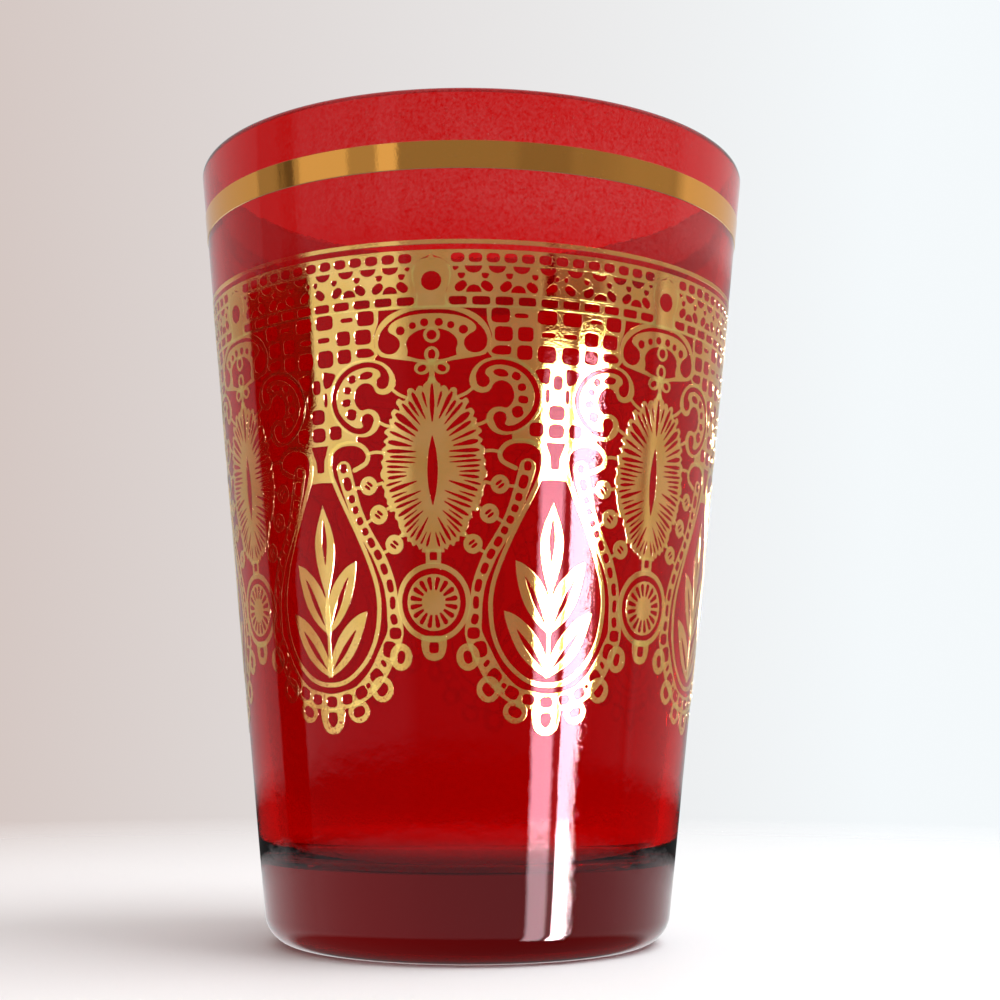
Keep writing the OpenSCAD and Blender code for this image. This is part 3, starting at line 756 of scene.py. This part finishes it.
def teardrop_frames():
    half = [
        (0, 27.2), (1.8, 27.45), (3.4, 28.35), (4.9, 29.9), (5.9, 32.0), (6.27, 34.5), (6.1, 36.6),
        (5.5, 38.6), (4.55, 40.9), (3.55, 43.0), (2.65, 44.8), (1.9, 46.4), (1.35, 47.8), (1.2, 49.3),
        (1.6, 50.2), (2.6, 50.75), (4.0, 50.8), (5.0, 50.4), (5.55, 49.6), (5.35, 48.85), (4.7, 48.45),
        (4.0, 48.15)]
    line = gold_sheet("frame_line", [ribbon(flip(half)[:-1] + half, 0.5)], 0.014)
    rail = [
        (0, 25.5, 0.85), (1.9, 25.75, 0.88), (3.75, 26.3, 0.92), (5.75, 28.0, 1.0), (7.25, 30.5, 1.0),
        (8.0, 32.2, 0.92), (7.9, 33.7, 0.78), (7.75, 35.1, 0.68), (7.5, 36.8, 0.68), (6.95, 38.4, 0.7),
        (6.3, 39.85, 0.7), (5.6, 41.0, 0.68), (4.95, 42.1, 0.68), (4.4, 43.2, 0.7), (3.95, 44.3, 0.72),
        (3.6, 45.4, 0.75), (3.15, 46.9, 0.8), (2.8, 48.35, 0.82)]
    cuts = [cell(*c, soft=3) for c in (
        (2.05, 25.8, 1.35, 1.0, 6), (3.85, 26.45, 1.5, 1.15, 26), (4.72, 27.1, 0.55, 0.45, 40),
        (5.75, 28.0, 1.45, 1.4, 45), (6.6, 29.25, 0.75, 0.45, -50), (7.3, 30.6, 1.45, 1.55, -10),
        (8.0, 32.15, 1.3, 1.1, 0), (7.87, 33.5, 0.72, 1.0, 15), (7.77, 35.1, 0.6, 1.2, 0),
        (7.55, 36.75, 0.68, 1.25, 12), (6.93, 38.4, 0.68, 1.1, 22), (6.3, 39.8, 0.72, 1.0, 30),
        (5.6, 41.0, 0.72, 1.0, 30), (4.97, 42.1, 0.7, 0.72, 28), (4.42, 43.15, 0.72, 0.75, 24),
        (3.97, 44.25, 0.7, 0.72, 20), (3.6, 45.35, 0.72, 0.78, 18), (3.17, 46.85, 0.9, 1.35, 14),
        (2.78, 48.4, 0.75, 0.9, 0))]
    foot_cell = cell(0, 25.55, 1.45, 1.05, soft=3)
    rails = ribbon(flip(rail)[:-1] + rail, steps=3)
    ladder = gold_sheet("ladder", [rails] + pair(cuts) + [foot_cell], 0.028)
    press_on("teardrop_frame_gold", "teardrop_frames", [line, ladder], 1)


def picot_loops():
    lift = 0.004
    bell = both(smooth([(0, 24.9), (1.55, 24.9), (1.6, 23.9), (1.25, 22.9), (0.6, 22.42), (0, 22.35)],
                       False))
    hole = smooth([(-0.55, 24.4), (0, 24.5), (0.55, 24.4), (0.6, 23.6), (0, 23.05), (-0.6, 23.6)])
    sheets = [gold_sheet("picot", [bell, hole], lift)]
    for x, z, r, rz, hole_w, hole_h, turn in (
            (3.45, 24.6, 1.35, 1.15, 1.5, 1.0, 20), (6.35, 26.75, 1.3, 1.3, 1.35, 1.15, 50),
            (8.55, 29.85, 1.25, 1.35, 1.25, 0.85, -105)):
        for side in (1, -1):
            hole = cell(side * (x + 0.02), z - 0.02, hole_w, hole_h, turn=turn * side, soft=2.5)
            sheets.append(gold_sheet("picot", [disc(side * x, z, r, 24, rz), hole], lift))
    press_on("picot_loop_gold", "picot_loops", sheets, 1)


def leaf_sprays():
    top = both(smooth([
        (0, 45.0), (0, 45.0), (0.35, 44.1), (0.85, 42.9), (1.2, 41.6), (1.25, 40.6), (1.12, 39.3),
        (0.75, 37.8), (0.35, 36.6), (0.1, 35.6), (0, 35.5)], False))
    top_cut = ribbon([(0, 43.4, 0.05), (0, 42.2, 0.24), (0, 41.0, 0.3), (0, 39.1, 0.04)], ends=False)
    upper = smooth([
        (3.8, 39.25), (3.8, 39.25), (3.68, 38.0), (3.5, 37.1), (3.2, 36.0), (2.7, 34.85), (1.95, 33.75),
        (1.1, 32.9), (0, 32.15), (-0.3, 32.3), (-0.2, 35.4), (0.3, 35.95), (0.7, 36.7), (1.3, 37.5),
        (2.1, 38.3), (2.9, 38.9)])
    upper_cut = ribbon([(2.75, 37.65, 0.04), (2.2, 36.6, 0.2), (1.4, 34.9, 0.26), (0.5, 33.15, 0.04)],
                       ends=False)
    lower = smooth([
        (4.9, 34.35), (4.9, 34.35), (4.72, 33.5), (4.4, 32.6), (3.9, 31.4), (3.2, 30.25), (2.3, 29.3),
        (1.2, 28.5), (0, 27.95), (-0.3, 28.1), (-0.25, 29.6), (0.15, 29.8), (0.5, 30.5), (1.2, 31.7),
        (2.1, 32.75), (3.1, 33.6), (4.1, 34.15)])
    lower_cut = ribbon([(3.45, 32.5, 0.04), (2.7, 31.5, 0.22), (1.7, 30.2, 0.27), (0.5, 28.8, 0.04)],
                       ends=False)
    sheets = [gold_sheet("top_leaf", [top, top_cut], 0.004)]
    for side in (1, -1):
        for n, leaf in enumerate(([upper, upper_cut], [lower, lower_cut])):
            lift = 0.012 + 0.008 * n + 0.003 * side
            sheets.append(gold_sheet("leaf", [on_side(side, o) for o in leaf], lift))
    sheets.append(gold_sheet("stalk", [[(-0.22, 29.4), (0.22, 29.4), (0.2, 32.6), (-0.2, 32.6)]], 0.001))
    press_on("leaf_spray_gold", "leaf_sprays", sheets, 1)


# Studio
def camera():
    """The photo's camera: lens in pixels, places in metres, turns in radians."""
    photo_px, sensor, f_px = 1000, 36.0, 1639.54
    away, eye_z = 0.18440, 0.023116
    tilt, pan, roll = 0.137748, 0.018242, 0.0034111
    ahead = Vector((math.sin(pan) * math.cos(tilt), math.cos(pan) * math.cos(tilt), math.sin(tilt)))
    side = ahead.cross(Vector((0, 0, 1))).normalized()
    above = side.cross(ahead)
    right = math.cos(roll) * side + math.sin(roll) * above
    up = -math.sin(roll) * side + math.cos(roll) * above
    place = Matrix((right, up, -ahead)).transposed().to_4x4()
    place.translation = (0, -away, eye_z)
    lens = bpy.data.cameras.new("photo_camera")
    lens.sensor_width = sensor
    lens.lens = f_px * sensor / photo_px
    lens.clip_start = 0.005
    lens.clip_end = 50
    eye = bpy.data.objects.new("photo_camera", lens)
    scene.collection.objects.link(eye)
    eye.matrix_world = Matrix.Rotation(SEE_FROM, 4, "Z") @ place
    scene.camera = eye


def around(azimuth_deg, distance, z):
    """A place round the glass. Azimuth 0 is the photo's side, positive to its right."""
    a = math.radians(azimuth_deg) + SEE_FROM
    return Vector((distance * math.sin(a), -distance * math.cos(a), z))


def pale_room():
    """Pale light from all round, warmer and darker from the left."""
    warm, cool = (0.66, 0.57, 0.54, 1), (0.91, 0.95, 0.97, 1)
    world = bpy.data.worlds.new("pale_room")
    scene.world = world
    f = Finish(world, "ShaderNodeOutputWorld")
    across = f.parts(f.seen(f.node("ShaderNodeTexCoord")))[0]
    colour = f.node("ShaderNodeValToRGB", {"stops": ((0.36, warm), (0.62, cool))},
                    {"Fac": f.between(across, -1.0, 1.0)})
    f.surface(f.node("ShaderNodeBackground", {}, {"Color": colour, "Strength": 1.0}))


def pale_floor():
    """A pale table that fades out away from the glass."""
    bpy.ops.mesh.primitive_circle_add(vertices=128, radius=0.9, fill_type="NGON", location=(0, 0, 0))
    floor = bpy.context.view_layer.objects.active
    floor.name = "pale_floor"
    f = Finish(bpy.data.materials.new("pale_floor"))
    far = f.node("ShaderNodeVectorMath", {"operation": "LENGTH"}, {0: f.place()}, out=1)
    shade = f.node("ShaderNodeBsdfPrincipled", {}, {
        "Base Color": (0.94, 0.94, 0.95, 1), "Roughness": 0.6,
        "Alpha": f.between(far, 0.02, 0.25, 1.0, 0.0)})
    floor.data.materials.append(f.surface(shade))
    floor.visible_glossy = False
    floor.visible_shadow = False
    floor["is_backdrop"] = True


def room_walls():
    """What the gloss of the glass and the gold mirrors: dark and bright walls and two tall windows.

    Places are in degrees round from the photo's side, positive to its right."""
    left_end, right_end = -200, 200                        # past the back, so that no gap is left there
    corner_at = (-91.0, -72.0)                             # low down and high up, as are the next three
    right_pane_end = (55.5, 59.0)
    left_light, right_light = (58.0, 32.0), (125.0, 130.0)
    left_pane_start, left_pane_end, right_pane_start = 32, 43, 47
    soft, bar_light = 0.5, 1.5
    straight_ahead, bend = 0.215, 0.465                    # how the cone bends a level line

    bpy.ops.mesh.primitive_uv_sphere_add(segments=64, ring_count=32, radius=2.0, location=(0, 0, 0.04))
    walls = bpy.context.view_layer.objects.active
    walls.name = "room_walls"
    f = Finish(bpy.data.materials.new("room_walls"))
    x, y, z = f.parts(f.seen(f.place()))
    turn = f.degrees(x, 0 - y)
    rise = f.degrees(z, (x * x + y * y) ** 0.5)

    def from_to(low, high, fade):
        return f.between(turn, low - fade, low + fade) * f.between(turn, high - fade, high + fade, 1.0, 0.0)

    def stretches(level, steps):
        """A level that each stretch of wall changes: from, to, fade and change."""
        for low, high, fade, change in steps:
            level = level + from_to(low, high, fade) * change
        return level

    # The height on the glass that mirrors this part: below 0 under the lace, above 0.3 the rim band.
    away = (x * x + y * y + z * z) ** 0.5
    level_line = f.node("ShaderNodeMath", {"operation": "COSINE"}, {0: turn * math.radians(bend)})
    mirrored = z / away + level_line * straight_ahead
    lace_high = f.between(mirrored, 0.296, 0.312, 1.0, 0.0)
    plain = f.between(mirrored, -0.028, -0.008, 0.08, 1.0)
    foot = f.between(mirrored, -0.08, -0.064, 1.0, 0.0)
    floor = f.between(rise, -32.0, -25.0, 0.2, 1.0)

    corner = f.between(mirrored, 0.11, 0.21, *corner_at)
    sides = stretches(1.1, (
        (left_end, -112, 0.8, -0.62), (-112, corner, 0.8, -1.09), (corner, -29, 2.0, -0.05),
        (-29, 32, 4.0, -0.68), (8, 31, 6.0, -0.12), (31, 57, 2.0, -0.95), (57, 88, 2.0, -0.66),
        (88, right_end, 6.0, -0.55)))
    far_sides = from_to(left_end, -112, 5.0) + from_to(108, right_end, 5.0)
    wedges = f.between(mirrored, -0.066, -0.056, 0.6, 0.0) * (1 - foot) * far_sides

    # The windows end in broken light, above at the scrolls of the lace and below at the heel.
    # The right one is also ragged along its right edge.
    upright = f.node("ShaderNodeVectorMath", {"operation": "MULTIPLY"}, {0: f.place(), 1: (1.0, 1.0, 12.0)})
    broken = f.speckle(upright, 21.0, 3.0, 0.7) - 0.5
    window_top = f.between(mirrored + broken * 0.09, 0.216, 0.238, 1.0, 0.0)
    window_foot = f.between(mirrored + broken * 0.12, -0.40, -0.36)
    left_pane = (from_to(left_pane_start, left_pane_end, 1.2)
                 * f.between(mirrored, 0.10, 0.22, *left_light) * (1 - foot * 0.75))
    ragged = turn + broken * 26
    right_edge = f.between(mirrored, -0.02, 0.02, *right_pane_end)
    right_pane = (f.between(turn, right_pane_start - soft, right_pane_start + soft) * (ragged < right_edge)
                  * f.between(mirrored, -0.02, 0.05, *right_light))
    bar = from_to(left_pane_end, right_pane_start, soft) * bar_light
    windows = (left_pane + bar + right_pane) * window_top * window_foot

    band = stretches(0.34, (
        (left_end, -98, 1.0, 0.3), (-98, -84, 2.0, 0.06), (-84, -74, 1.0, 0.16), (-74, -51, 1.0, 0.5),
        (-51, -38.5, 1.0, 0.16), (-38.5, -30, 1.0, 0.6), (18, 40, 2.0, -0.06), (60, 95, 8.0, 0.08)))
    dark_bar = f.between(turn + broken * 30, -85, -84) * f.between(turn, -77.5, -76.5, 1.0, 0.0)
    band_end = from_to(95, right_end, 4.0) * f.between(mirrored, 0.318, 0.332, 0.1, 0.45)
    band = band - dark_bar * 0.36 + band_end

    walls_light = (sides * plain + foot * 0.85 + wedges) * floor
    light = lace_high * (walls_light + windows) + (1 - lace_high) * band
    shade = f.node("ShaderNodeVectorMath", {"operation": "SCALE"}, {0: (1.0, 0.97, 0.98), 3: light})
    material = f.surface(f.node("ShaderNodeEmission", {}, {"Color": shade, "Strength": 1.0}))
    material.cycles.emission_sampling = "NONE"
    walls.data.materials.append(material)
    walls.visible_camera = walls.visible_diffuse = walls.visible_transmission = False
    walls.visible_shadow = walls.visible_volume_scatter = False
    walls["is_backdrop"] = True


def soft_key():
    """A wide soft light high on the right, turned to the middle of the glass."""
    aim = Vector((0, 0, 0.04))
    key = bpy.data.lights.new("soft_key", "AREA")
    key.shape = "RECTANGLE"
    key.size = key.size_y = 0.8
    key.energy = 9.0
    lamp = bpy.data.objects.new("soft_key", key)
    scene.collection.objects.link(lamp)
    lamp.location = around(75, 0.6, 0.95)
    lamp.rotation_euler = (aim - lamp.location).to_track_quat("-Z", "Y").to_euler()
    lamp.visible_camera = lamp.visible_glossy = lamp.visible_transmission = False


scene.view_settings.view_transform = "Standard"
camera()
pale_room()
pale_floor()
room_walls()
soft_key()
glass_body()
gold_ring("rim_band_gold", "rim_band", RIM_BAND_DROP, RIM_BAND_W)
gold_ring("border_line_gold", "border_line", BORDER_DROP, BORDER_W)
lace_courses()
square_net()
plaques()
crown_arches()
side_scrolls()
sunbursts()
bead_links()
rosettes()
teardrop_frames()
picot_loops()
leaf_sprays()

triangles = {piece.name: sum(len(face.vertices) - 2 for face in piece.data.polygons)
             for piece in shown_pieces() if piece.type == "MESH"}
print("triangles", sum(triangles.values()), triangles)
